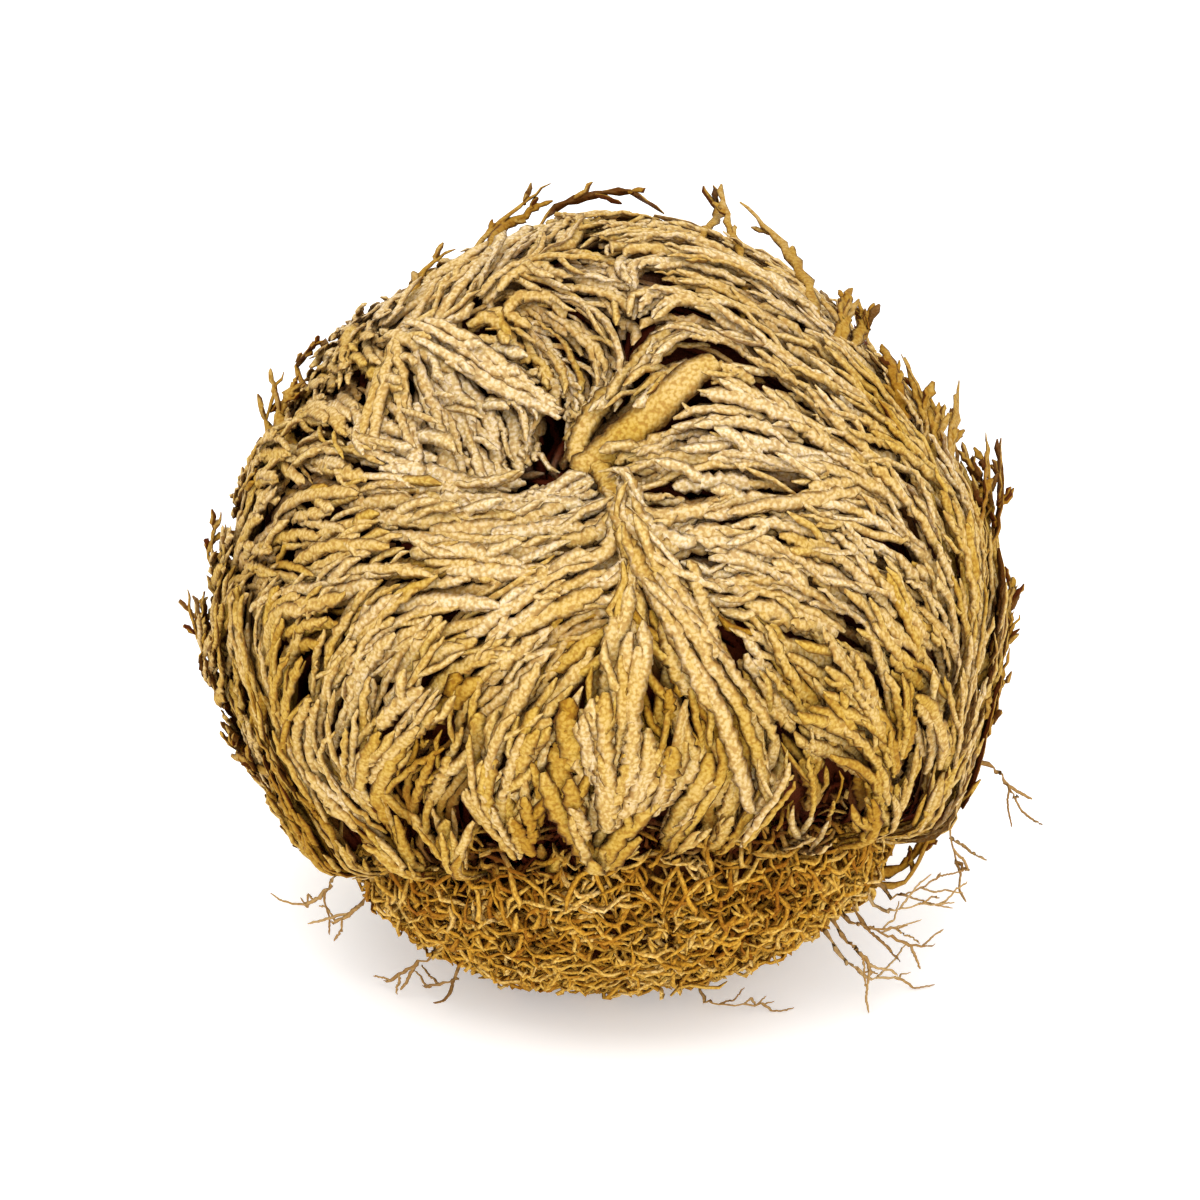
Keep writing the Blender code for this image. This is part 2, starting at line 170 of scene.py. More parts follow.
# Branchlets that leave the ball: pixels from the base to the tip
STRAYS = (
    ((478, 246), (515, 212), (550, 184)), ((492, 240), (522, 216), (552, 200)),
    ((548, 216), (585, 197), (630, 193), (664, 214)), ((700, 240), (716, 215), (713, 185)),
    ((742, 262), (728, 225), (720, 186)), ((812, 298), (782, 244), (738, 202)),
    ((842, 334), (846, 312), (848, 290)), ((858, 336), (862, 318), (856, 300)),
    ((905, 412), (892, 380), (880, 346)), ((925, 436), (918, 400), (904, 358)),
    ((935, 450), (930, 415), (912, 384)), ((946, 468), (950, 432), (958, 394)),
    ((940, 455), (938, 430), (944, 408)), ((980, 520), (984, 480), (985, 438)),
    ((992, 540), (999, 490), (1000, 438)), ((985, 500), (976, 474), (972, 458)),
    ((1005, 640), (1009, 600), (1017, 584)), ((996, 665), (1008, 632), (1013, 612)),
    ((986, 708), (996, 682), (1002, 640)), ((984, 738), (992, 716), (999, 690)),
    ((268, 430), (272, 404), (284, 372)), ((280, 420), (288, 395), (304, 382)),
    ((298, 372), (310, 350), (322, 342)), ((204, 642), (193, 618), (188, 590)),
    ((214, 640), (206, 612), (204, 592)), ((212, 560), (214, 535), (222, 512)),
    ((412, 300), (428, 268), (456, 248)), ((262, 770), (248, 760), (231, 757)),
    ((250, 760), (240, 748), (233, 735)), ((893, 872), (930, 832), (964, 796)),
)
STRAY_WIDTH = 1.3 * MM
STRAY_WIDTH_SHARES = (0.7, 1.25)
STRAY_LIFT = (1.0, 2.0, 3.0)  # mm over the ball's surface at its three pixels
STRAY_ROOT_DEPTH = 0.8 * MM
STRAY_SHADE = 0.35 * MM
STRAY_START = 0.9  # of the first stretch, behind its first pixel
STRAY_STEPS = 17
STRAY_TINTS = (0.0, 0.4)
TWIN_LIMIT = 840  # right of this pixel each one has another beside it
TWIN_SHIFT = 4.5  # pixels
TIP_SPOTS = ((0.45, 1), (0.6, -1), (0.75, 1))  # where tips leave a stray, and on which side
TIP_LENGTHS = (1.8, 3.4)  # mm
TIP_STEPS = 6

# The broad smooth leaf by the hollow: the pixels of its parts, and their widths
TONGUES = (
    (((720, 350), (668, 378), (615, 412), (570, 442)), 4.0 * MM),
    (((610, 345), (594, 364), (574, 396), (567, 434)), 2.5 * MM),
    (((618, 486), (608, 458), (592, 432)), 2.4 * MM),
)
TONGUE_THICKNESS = 0.5 * MM
TONGUE_HEIGHT = 1.6 * MM
TONGUE_TINT = 0.33
TONGUE_STEPS = 19
TONGUE_BODY = (0.6, 0.85, 1.0, 0.95, 0.85, 0.6)

# Spots of painted highlight, where the plant's tint is paler: (x, y, half width in pixels, how much)
HIGHLIGHT_SPOTS = (
    (560, 508, 70, 0.48), (470, 500, 60, 0.28), (765, 555, 70, 0.34), (760, 440, 50, 0.28),
    (640, 560, 40, 0.2), (440, 345, 60, 0.34), (880, 600, 70, 0.22), (390, 410, 65, 0.34),
    (450, 420, 50, 0.26), (850, 480, 70, 0.16),
)
HIGHLIGHT_SPOT_LIFT = 2.4 * MM  # branchlets lie closer together there
CALM_SHARE = 2.3  # and more level
LEAST_UNREST = 0.15

# The crops of branchlets, from the top one down: how many, the steps along each, how deep in mm they
# lie under the surface and how much that differs, which fronds they belong to, whether the dark
# openings cut them, and how many degrees they reach past the mat's edge
CROPS = {
    "top": (3400, 15, -1.0, 0.45, "all", True, -1.0),
    "under": (950, 10, 0.7, 0.6, "all", True, -1.0),
    "low": (1000, 8, 1.7, 0.4, "all", False, 10.0),
    "middle": (600, 10, 4.6, 0.8, "middle", False, -1.0),
    "inner": (320, 8, 9.8, 0.8, "inner", False, -1.0),
}

# The size and the lie of a branchlet
BRANCHLET_WIDTH = 1.3 * MM
BRANCHLET_LENGTH = 10.8 * MM
SIZE_SHARES = (0.6, 1.45)
SHORT_LENGTH = 0.6 * BRANCHLET_LENGTH  # one cut shorter than this is narrower too
LEAST_NARROWING = 0.45
BRANCHLET_THICKNESS = 0.33 * MM
BRANCHLET_WOBBLE = 0.1 * MM
EDGE_SPREAD = 2.5  # degrees
LEAN_SPREAD = 4  # degrees
BEND_SPREAD = 7  # degrees
PITCH = (1.1, 0.5)  # mm from base to tip: the mean and its spread
PITCH_PIVOT = 0.55
TOOTH_SPACING = 0.5 * MM
TOOTH_SPREAD = 0.6
SCALE_LENGTH = 0.75 * MM
BACKING_DEPTH = 3.4 * MM
SHADE_START = 0.35 * MM  # this far above the surface a branchlet has no painted shade
SHADE_DEPTH = 2.1 * MM  # and this far below that its painted shade is at its darkest
BROAD_SPOT = (620, 780)  # the branchlets are broadest at this pixel
BROAD_REACH = 150  # pixels
BROAD_SHARE = 0.5
HIGHLIGHT_SPOT_BREADTH = 0.6  # and broader in the spots of painted highlight

# Branchlets grow in sprays, which fan out and lie over one another
SPRAY_COUNT = 190
SPRAY_STRETCH = 2.6
SPRAY_HALF_WIDTH = 3.3 * MM
SPRAY_FAN = math.radians(13)
SPRAY_EDGE_DROP = 1.5 * MM
SPRAY_EDGE_WIDTH = 0.8 * MM

# Side twigs: where they leave a branchlet, and their size
TWIG_SPOTS = (0.25, 0.8)
TWIG_LENGTHS = (3.0, 6.5)  # mm
TWIG_ANGLE = math.radians(38)
TWIG_LIFTS = (-0.3, 0.9)  # mm at the tip
TWIG_WIDTH_SHARES = (0.6, 0.85)
TWIG_STEPS = 4

# The sprays' bases draw together into sheaves along the root mat's edge
SHEAF_COUNT = 26
SHEAF_ANGLES = (47.0, 68.0)  # from the root pole: drawn together at the first, free at the second
SHEAF_PULL = 0.8

# The mat's fine roots: past its edge they dive under the fronds' bases
ROOT_FIBRES = 5200
FIBRE_STEPS = 5
FIBRE_LIMIT = 53  # degrees from the root pole
FIBRE_LENGTHS = (2, 7)  # mm
FIBRE_WIDTHS = (0.3, 0.75)  # mm
FIBRE_THICKNESS = 0.25 * MM
FIBRE_LEVELS = (-1.7, 0.7)  # mm
CLUMP_HEIGHT = 0.9  # mm
FIBRE_ANGLES = (0, 25, 41.5, 47, 58)
FIBRE_RADII = (41.2, 41.5, 40.7, 38.8, 38.2)  # mm
FIBRE_SHADE_RADIUS = 40.0 * MM
MAT_BACKING_DEPTH = 1.2 * MM
FLOOR_GAP = 0.7 * MM

# The wiry roots: each solid's own line, and the branches that leave it
HAIR_WIDTHS = (0.6, 0.45, 0.4, 0.35)  # mm
HAIR_THICKNESS = 0.2 * MM
HAIR_BODY = (1.0, 1.0, 0.95, 0.8, 0.7, 0.4)
HAIR_STEPS = 22
HAIR_ANCHOR = 4 * MM
BRANCH_SPOTS = (10, 14, 17)
BRANCH_LENGTHS = (2.5, 5.5)  # mm

SEED = 11
dice = np.random.default_rng(SEED)


def unit(vectors):
    return vectors / norm(vectors, axis=-1, keepdims=True)


def dots(a, b):
    return np.sum(a * b, axis=-1)


def smooth_step(value, low, high):
    share = np.clip((value - low) / (high - low), 0, 1)
    return share * share * (3 - 2 * share)


# The camera's directions
RIGHT = np.array((1.0, 0.0, 0.0))
UP = np.array((0.0, math.sin(CAMERA_ELEVATION), math.cos(CAMERA_ELEVATION)))
TOWARD = np.array((0.0, -math.cos(CAMERA_ELEVATION), math.sin(CAMERA_ELEVATION)))

# The growing directions, from the root pole to the hollow pole
ROOT_POLE = unit(np.array((0.08, -0.42, -0.90)))
HOLLOW_POLE = unit(np.array((-0.175, -0.56, 0.81)))
MIDDLE = unit(ROOT_POLE + HOLLOW_POLE)
ALONG = unit(HOLLOW_POLE - ROOT_POLE)
SIDE = unit(np.cross(ALONG, MIDDLE))
if SIDE[0] < 0:
    SIDE = -SIDE
REACH = math.tan(math.acos(float(MIDDLE @ HOLLOW_POLE)) / 2)


def swirl(along, turn):
    bend = np.log1p(np.exp((along - SWIRL_START) / SWIRL_SOFTNESS)) * SWIRL_SOFTNESS
    change = 1 - SWIRL_CHANGE * np.cos(turn - LEAST_SWIRL_TURN)
    return (STEADY_SWIRL * along + HOLLOW_SWIRL * bend) * change


def direction(along, turn):
    spot = REACH * np.tanh((along + 1j * (turn + swirl(along, turn))) / 2)
    square = (np.abs(spot) ** 2)[..., None]
    flat = 2 * spot.real[..., None] * ALONG + 2 * spot.imag[..., None] * SIDE
    return (flat + (1 - square) * MIDDLE) / (1 + square)


def place_on_path(ways):
    """How far along its path, and at which turn, each direction lies."""
    spot = ((ways @ ALONG) + 1j * (ways @ SIDE)) / (1.0001 + ways @ MIDDLE)
    place = 2 * np.arctanh(spot / REACH)
    along = np.clip(place.real, -4, 4)
    turn = place.imag.copy()
    for _ in range(14):
        miss = turn + swirl(along, turn) - place.imag
        slope = 1 + (swirl(along, turn + 1e-3) - swirl(along, turn - 1e-3)) / 2e-3
        turn -= np.clip(miss / np.maximum(slope, 0.25), -0.4, 0.4)
    return along, turn


def angle_to(ways, pole):
    return np.degrees(np.arccos(np.clip(ways @ pole, -1, 1)))


def photo_spots(pixels):
    """The directions from the ball's centre to the spots of the ball that the photo's pixels show."""
    pixels = np.asarray(pixels, float)
    aim = (
        -TOWARD * CAMERA_DISTANCE
        + RIGHT * (pixels[:, :1] - BALL_PIXEL[0]) * PIXEL
        + UP * (BALL_PIXEL[1] - pixels[:, 1:2]) * PIXEL
    )
    aim = unit(aim)
    start = TOWARD * CAMERA_DISTANCE
    near = aim @ start
    root = np.maximum(near**2 - CAMERA_DISTANCE**2 + BALL_RADIUS**2, 0)
    return unit(start + aim * (-near - np.sqrt(root))[:, None])


def tangent_at(ways, headings):
    """The directions along the ball that look on the photo like these headings."""
    flat = np.cos(headings)[:, None] * RIGHT + np.sin(headings)[:, None] * UP
    lean = -dots(flat, ways) / np.maximum(ways @ TOWARD, 0.3)
    tangent = flat + lean[:, None] * TOWARD
    return unit(tangent - dots(tangent, ways)[:, None] * ways)


HEADING_TABLE = np.array(HEADINGS, float)
HEADING_WAYS = photo_spots(HEADING_TABLE[:, :2])
HEADING_TANGENTS = tangent_at(HEADING_WAYS, np.radians(HEADING_TABLE[:, 2]))


def growth(ways):
    """The direction along the ball in which the fronds grow at each spot."""
    along, turn = place_on_path(ways)
    base = unit(direction(along + 1e-3, turn) - direction(along - 1e-3, turn))
    near = np.exp(2 * (ways @ HEADING_WAYS.T - 1) / HEADING_REACH**2)
    mixed = near @ HEADING_TANGENTS + GROWTH_WEIGHT * base
    mixed -= dots(mixed, ways)[:, None] * ways
    return unit(mixed)


def turned(vectors, axes, angles):
    """Vectors at right angles to the axes, turned round them."""
    return vectors * np.cos(angles)[:, None] + np.cross(axes, vectors) * np.sin(angles)[:, None]


def fullness(ways):
    """How much fuller than round the ball is."""
    total = np.zeros(ways.shape[:-1])
    for turn, height, reach in SHOULDERS:
        angle = math.radians(turn)
        apart = angle_to(ways, math.cos(angle) * RIGHT + math.sin(angle) * UP)
        total += height * np.exp(-((apart / reach) ** 2))
    return total


def surface_radius(ways):
    """The middle line of the outer fronds, with the ball's shoulders."""
    root_angle = angle_to(ways, ROOT_POLE)
    hollow_angle = angle_to(ways, HOLLOW_POLE)
    share = np.clip((root_angle - MAT_EDGE_ANGLE) / (FULL_ANGLE - MAT_EDGE_ANGLE), 0, 1)
    radius = MAT_EDGE_RADIUS + (OUTER_RADIUS - MAT_EDGE_RADIUS) * np.sin(math.pi / 2 * share)
    x, y, z = ways[..., 0], ways[..., 1], ways[..., 2]
    lump = np.sin(5.1 * x + 1.0) * np.cos(4.3 * y - 0.6) + 0.5 * np.sin(6.7 * z)
    dive = CURL_DEPTH * (1 - smooth_step(hollow_angle, 6.0, CURL_ANGLE))
    return radius + LUMP * lump * share - dive + fullness(ways)


def rise(ways):
    """How far the lines that stand out lift the branchlets here."""
    lift = np.zeros(len(ways))
    for pixels, height, half_width in RISES:
        line = photo_spots(pixels)
        steps = np.linspace(0, len(line) - 1, 24)
        spots = np.stack([np.interp(steps, range(len(line)), line[:, i]) for i in range(3)], axis=1)
        nearest = np.max(ways @ unit(spots).T, axis=1)
        gap = np.sqrt(np.maximum(2 * (1 - nearest), 0)) * BALL_RADIUS / PIXEL
        lift += height * np.exp(-((gap / half_width) ** 2))
    return lift


def highlight_spot_share(ways):
    """How much each direction lies in the spots of painted highlight."""
    total = np.zeros(len(ways))
    for x, y, half_width, pale in HIGHLIGHT_SPOTS:
        near = (ways @ photo_spots([(x, y)])[0] - 1) * (BALL_RADIUS / PIXEL / half_width) ** 2
        total += pale * np.exp(2 * near)
    return total


def in_gap(ways):
    """Whether each direction lies in a dark opening."""
    table = np.array(GAPS, float)
    middles = photo_spots(table[:, :2])
    tangents = tangent_at(middles, np.radians(table[:, 4]))
    across = np.cross(middles, tangents)
    scale = BALL_RADIUS / PIXEL
    along_share = (ways @ tangents.T) * scale / table[:, 2]
    across_share = (ways @ across.T) * scale / table[:, 3]
    inside = (along_share**2 + across_share**2 < 1) & (ways @ middles.T > 0.9)
    return inside.any(axis=1)


# The solids, to tell which frond a branchlet belongs to
def tree_of(names):
    """A search tree of these nodes' faces, and the node of each face."""
    vertices = []
    faces = []
    owners = []
    for name in names:
        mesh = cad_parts[name].data
        start = len(vertices)
        vertices += [v.co.copy() for v in mesh.vertices]
        faces += [[start + i for i in face.vertices] for face in mesh.polygons]
        owners += [name] * len(mesh.polygons)
    return BVHTree.FromPolygons(vertices, faces), owners


def nodes_like(start):
    return sorted(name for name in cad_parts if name.startswith(start))


OUTER = nodes_like("outer_frond")
MIDDLES = nodes_like("middle_frond")
INNER = nodes_like("inner_frond")
TREES = {
    "all": tree_of(OUTER + MIDDLES + INNER),
    "middle": tree_of(MIDDLES + INNER),
    "inner": tree_of(INNER),
}


def owners_of(ways, kind):
    """The frond that lies under each direction: the outermost of this kind."""
    tree, owners = TREES[kind]
    centre = Vector(BALL_CENTRE)
    found = []
    for way in ways:
        out = Vector(way)
        _, _, face, _ = tree.ray_cast(centre + out * 0.06, -out, 0.06)
        if face is None:
            _, _, face, _ = tree.find_nearest(centre + out * 0.04)
        found.append(owners[face])
    return np.array(found)


# Strands: a dict of arrays, one row a strand
def spread(count):
    """Directions spread evenly over the ball, with some jitter."""
    step = np.arange(count) + 0.5
    height = 1 - 2 * step / count
    turn = step * math.pi * (3 - math.sqrt(5))
    flat = np.sqrt(1 - height**2)
    ways = np.stack([flat * np.cos(turn), flat * np.sin(turn), height], axis=1)
    return unit(ways + dice.normal(0, 0.9 / math.sqrt(count), ways.shape))


def trace(middles, lengths, steps, lean, bend):
    """Runs strands both ways from their middles, along the growth."""
    ways = np.empty((len(middles), steps + 1, 3))
    half = steps // 2
    ways[:, half] = middles
    for sign, order in ((1, range(half + 1, steps + 1)), (-1, range(half - 1, -1, -1))):
        here = middles
        for i in order:
            angle = lean + bend * (i - half) / half
            ahead = turned(growth(here), here, angle)
            here = unit(here + sign * ahead * (lengths / steps / OUTER_RADIUS)[:, None])
            ways[:, i] = here
    return ways


def make_sprays():
    """The middle of each spray, its own direction, height and tint."""
    middles = spread(SPRAY_COUNT)
    ahead = growth(middles)
    return {
        "middle": middles,
        "ahead": ahead,
        "side": np.cross(middles, ahead),
        "lean": np.radians(dice.normal(0, 7, SPRAY_COUNT)),
        "level": dice.uniform(-0.8, 0.8, SPRAY_COUNT) * MM,
        "tint": dice.normal(0, 0.1, SPRAY_COUNT),
    }


def spray_of(ways, sprays):
    """The spray that each branchlet is in, how far off its axis it is and how near to its edge."""
    offset = ways[:, None] - sprays["middle"][None]
    ahead = np.einsum("ijk,jk->ij", offset, sprays["ahead"])
    apart = np.sqrt(np.sum(offset**2, axis=2) - ahead**2 * (1 - 1 / SPRAY_STRETCH**2))
    order = np.argsort(apart, axis=1)
    rows = np.arange(len(ways))
    nearest = order[:, 0]
    edge = (apart[rows, order[:, 1]] - apart[rows, nearest]) / 2 * OUTER_RADIUS
    across = np.sum(offset[rows, nearest] * sprays["side"][nearest], axis=1) * OUTER_RADIUS
    return nearest, across, edge


def draw_together(ways):
    """Draws the branchlets' bases into sheaves: turns them round the root pole to a sheaf's middle."""
    flat = ways - (ways @ ROOT_POLE)[..., None] * ROOT_POLE
    azimuth = np.arctan2(flat @ np.cross(ROOT_POLE, SHEAF_ZERO), flat @ SHEAF_ZERO)
    base = azimuth[:, :1]
    shift = SHEAVES[np.argmin(np.abs(np.sin((SHEAVES - base) / 2)), axis=1)][:, None] - azimuth
    shift = (shift + math.pi) % (2 * math.pi) - math.pi
    free = smooth_step(angle_to(ways, ROOT_POLE), *SHEAF_ANGLES)
    angle = (SHEAF_PULL * (1 - free) * shift)[..., None]
    axis = np.broadcast_to(ROOT_POLE, ways.shape)
    return ways + np.cross(axis, ways) * np.sin(angle) + flat * (np.cos(angle) - 1)


def cut_at_gaps(ways):
    """Each branchlet cut back to its longest stretch outside the dark openings."""
    count, rings = ways.shape[:2]
    blocked = in_gap(ways.reshape(-1, 3)).reshape(count, rings)
    kept = np.ones(count, bool)
    for i in np.nonzero(blocked.any(axis=1))[0]:
        ends = np.concatenate([[-1], np.nonzero(blocked[i])[0], [rings]])
        longest = np.argmax(np.diff(ends))
        first, last = ends[longest] + 1, ends[longest + 1] - 1
        kept[i] = last - first > rings * 0.3
        places = np.linspace(first, max(last, first), rings)
        ways[i] = unit(np.stack([np.interp(places, np.arange(rings), c) for c in ways[i].T], axis=1))
    return ways, kept


def breadth(ways):
    """How broad the branchlets are at each direction."""
    apart = 2 * (1 - ways @ photo_spots([BROAD_SPOT])[0]) * (BALL_RADIUS / PIXEL / BROAD_REACH) ** 2
    return 1 + BROAD_SHARE * np.exp(-apart) + HIGHLIGHT_SPOT_BREADTH * highlight_spot_share(ways)


def spray_bends(sprays, spray, across):
    """How far each branchlet leans off the growth at its middle, and bends on its way."""
    lean = sprays["lean"][spray] + SPRAY_FAN * np.clip(across / SPRAY_HALF_WIDTH, -1.3, 1.3)
    lean += np.radians(dice.normal(0, LEAN_SPREAD, len(spray)))
    return lean, np.radians(dice.normal(0, BEND_SPREAD, len(spray)))


def spray_levels(sprays, spray, edge, spread_depth):
    """How high each branchlet lies in its crop: with its spray, and lower at the spray's edge."""
    level = dice.uniform(-spread_depth, spread_depth, len(spray)) + sprays["level"][spray]
    return level - SPRAY_EDGE_DROP * np.exp(-((edge / SPRAY_EDGE_WIDTH) ** 2))


def pitched(surface, level, calm):
    """The radii of branchlets that lie at a level and rise towards their tips."""
    share = np.linspace(0, 1, surface.shape[1])
    pitch = dice.normal(*PITCH, len(surface)) * calm * MM
    return surface + level[:, None] + pitch[:, None] * (share - PITCH_PIVOT)


def branchlet_widths(ways, here):
    real = norm(np.diff(ways, axis=1), axis=2).sum(axis=1) * OUTER_RADIUS
    short = np.clip(real / SHORT_LENGTH, LEAST_NARROWING, 1)
    return BRANCHLET_WIDTH * dice.uniform(*SIZE_SHARES, len(ways)) * breadth(here) * short


def make_strands(sprays, count, steps, depth, spread_depth, kind, cut, overlap):
    """Branchlets all over the ball at a depth under the surface, and over the mat's edge."""
    middles = spread(count)
    limit = MAT_EDGE_ANGLE - overlap + dice.normal(0, EDGE_SPREAD, len(middles))
    middles = middles[angle_to(middles, ROOT_POLE) > limit]
    spray, across, edge = spray_of(middles, sprays)
    lengths = BRANCHLET_LENGTH * dice.uniform(*SIZE_SHARES, len(middles))
    lean, bend = spray_bends(sprays, spray, across)
    ways = draw_together(trace(middles, lengths, steps, lean, bend))
    calm = np.clip(1 - CALM_SHARE * highlight_spot_share(middles), LEAST_UNREST, 1)
    level = spray_levels(sprays, spray, edge, spread_depth * MM) * calm - depth * MM
    tint = dice.uniform(0, 1, len(ways)) + sprays["tint"][spray]
    if cut:
        ways, kept = cut_at_gaps(ways)
        ways, level, tint, calm = ways[kept], level[kept], tint[kept], calm[kept]
    here = ways[:, steps // 2]
    lift = rise(here) if kind == "all" else np.zeros(len(ways))
    lift += HIGHLIGHT_SPOT_LIFT * highlight_spot_share(here) * (depth > 0)
    surface = surface_radius(ways.reshape(-1, 3)).reshape(ways.shape[:2])
    return {
        "ways": ways,
        "radii": pitched(surface, level + lift, calm),
        "surface": surface,
        "widths": branchlet_widths(ways, here),
        "tint": tint,
        "owner": owners_of(here, kind),
    }


def twig_ways(here, side, steps):
    """Lines that leave their places sideways and bend forwards."""
    lengths = dice.uniform(*TWIG_LENGTHS, len(here)) * MM
    ways = np.empty((len(here), steps + 1, 3))
    ways[:, 0] = here
    for i in range(1, steps + 1):
        angle = side * TWIG_ANGLE * (1 - 0.75 * i / steps)
        here = unit(here + turned(growth(here), here, angle) * (lengths / steps / OUTER_RADIUS)[:, None])
        ways[:, i] = here
    return ways


def make_twigs(strands, steps):
    """Side twigs, one on each strand, on the left and the right in turn."""
    count, long = strands["ways"].shape[:2]
    rows = np.arange(count)
    spot = (dice.uniform(*TWIG_SPOTS, count) * (long - 1)).astype(int)
    side = np.where(rows % 2, 1.0, -1.0)
    ways = twig_ways(strands["ways"][rows, spot], side, steps)
    share = np.linspace(0, 1, steps + 1)
    lift = dice.uniform(*TWIG_LIFTS, count) * MM
    return {
        "ways": ways,
        "radii": strands["radii"][rows, spot][:, None] + lift[:, None] * share,
        "surface": strands["surface"][rows, spot][:, None] + np.zeros(steps + 1),
        "widths": strands["widths"] * dice.uniform(*TWIG_WIDTH_SHARES, count),
        "tint": np.clip(strands["tint"] + dice.normal(0, 0.1, count), 0, 1),
        "owner": strands["owner"],
    }


def smooth_line(points, count):
    """A smooth curve through points, at even steps of its parameter."""
    ends = np.concatenate([[2 * points[0] - points[1]], points, [2 * points[-1] - points[-2]]])
    made = []
    for value in np.linspace(0, len(points) - 1, count):
        i = min(int(value), len(points) - 2)
        t = value - i
        p0, p1, p2, p3 = ends[i : i + 4]
        bend = (p2 - p0) * t + (2 * p0 - 5 * p1 + 4 * p2 - p3) * t**2
        made.append(0.5 * (2 * p1 + bend + (3 * p1 - p0 - 3 * p2 + p3) * t**3))
    return np.array(made)


def stray_line(pixels, count):
    """A line that starts under the ball's surface and leaves it over the pixels."""
    pixels = np.asarray(pixels, float)
    behind = pixels[0] - STRAY_START * (pixels[1] - pixels[0])
    way = photo_spots([behind])[0]
    root = BALL_CENTRE + way * (surface_radius(way) - STRAY_ROOT_DEPTH)
    lift = np.interp(np.linspace(0, 2, len(pixels)), range(3), STRAY_LIFT) * MM
    radius = surface_radius(way) + lift[:, None]
    apart = norm(pixels - BALL_PIXEL, axis=1, keepdims=True) * PIXEL
    most = (root - BALL_CENTRE) @ TOWARD * np.linspace(0.95, 0.5, len(pixels))[:, None]
    depth = np.minimum(np.sqrt(np.maximum(radius**2 - apart**2, 0)), most)
    shrink = (CAMERA_DISTANCE - depth) / CAMERA_DISTANCE
    places = (
        BALL_CENTRE
        + TOWARD * depth
        + RIGHT * (pixels[:, :1] - BALL_PIXEL[0]) * PIXEL * shrink
        + UP * (BALL_PIXEL[1] - pixels[:, 1:2]) * PIXEL * shrink
    )
    return smooth_line(np.concatenate([[root], places]), count)


def with_twins(lines):
    """The lines of pixels, and beside each one that starts far enough right another like it."""
    right = [line for line in lines if line[0][0] > TWIN_LIMIT]
    return [*lines, *(np.array(line) + dice.normal(0, TWIN_SHIFT, (3, 2)) for line in right)]


def side_tips(line, count):
    """Short tips that leave a line on either side, in turn."""
    tips = []
    for share, side in TIP_SPOTS:
        start = int(share * (len(line) - 1))
        ahead = unit(line[start + 1] - line[start])
        out = np.cross(TOWARD, ahead) * side
        reach = np.linspace(0, 1, count)[:, None] * dice.uniform(*TIP_LENGTHS) * MM
        tips.append(line[start] + reach * (ahead * 0.85 + out * 0.5))
    return tips


def line_strands(lines, widths, tints, depth=-MM):
    """Strands along given lines of places, shaded as if this deep under the surface."""
    places = np.stack(lines) - BALL_CENTRE
    radii = norm(places, axis=2)
    ways = places / radii[..., None]
    return {
        "ways": ways,
        "radii": radii,
        "surface": radii + depth,
        "widths": np.asarray(widths),
        "tint": np.asarray(tints),
        "owner": owners_of(ways[:, 0], "all"),
    }


def stray_strands(lines, width_shares):
    return line_strands(
        lines,
        STRAY_WIDTH * dice.uniform(*width_shares, len(lines)),
        dice.uniform(*STRAY_TINTS, len(lines)),
        STRAY_SHADE,
    )


def surface_line(pixels, count, height):
    """A line of places on the ball over the pixels."""
    ways = unit(smooth_line(photo_spots(pixels), count))
    return BALL_CENTRE + ways * (surface_radius(ways) + height)[:, None]


def drawn_strands(lines, height, width, tints):
    """Branchlets along lines of pixels, each given from its tip to its base."""
    return line_strands(
        [surface_line(pixels[::-1], 23, height) for pixels in lines],
        width * dice.uniform(0.75, 1.2, len(lines)),
        dice.uniform(*tints, len(lines)),
    )


# Meshes
SECTION = ((-1.0, 0.0), (-0.4, 1.0), (0.4, 1.0), (1.0, 0.0))
COARSE_SECTION = ((-1.0, 0.0), (0.0, 1.1), (1.0, 0.0), (0.0, -0.8))
ROUND_SECTION = ((-1.0, -0.5), (0.0, 1.0), (1.0, -0.5))
BODY_SHARES = (0.0, 0.1, 0.3, 0.78, 0.92, 1.0)
BODY_WIDTHS = (0.55, 0.85, 1.0, 0.95, 0.72, 0.3)


def cord_frames(places, ways, roll_spread):
    """The directions across and out of flattened cords, each cord rolled a little."""
    ahead = unit(np.gradient(places, axis=1))
    side = unit(np.cross(ahead, ways))
    out = np.cross(side, ahead)
    roll = dice.normal(0, roll_spread, len(places))[:, None, None]
    return side * np.cos(roll) + out * np.sin(roll), out * np.cos(roll) - side * np.sin(roll)


def cord_faces(count, rings, around):
    """Quads along the cords, and a cap at each end."""
    base = (np.arange(count) * rings * around)[:, None, None]
    near = base + (np.arange(rings - 1) * around)[None, :, None]
    far = near + around
    k = np.arange(around)[None, None, :]
    after = (k + 1) % around
    quads = np.stack([near + k, near + after, far + after, far + k], axis=-1).reshape(-1, 4)
    first = base[:, 0] + np.arange(around)[::-1]
    last = base[:, 0] + (rings - 1) * around + np.arange(around)
    return [quads, first, last]


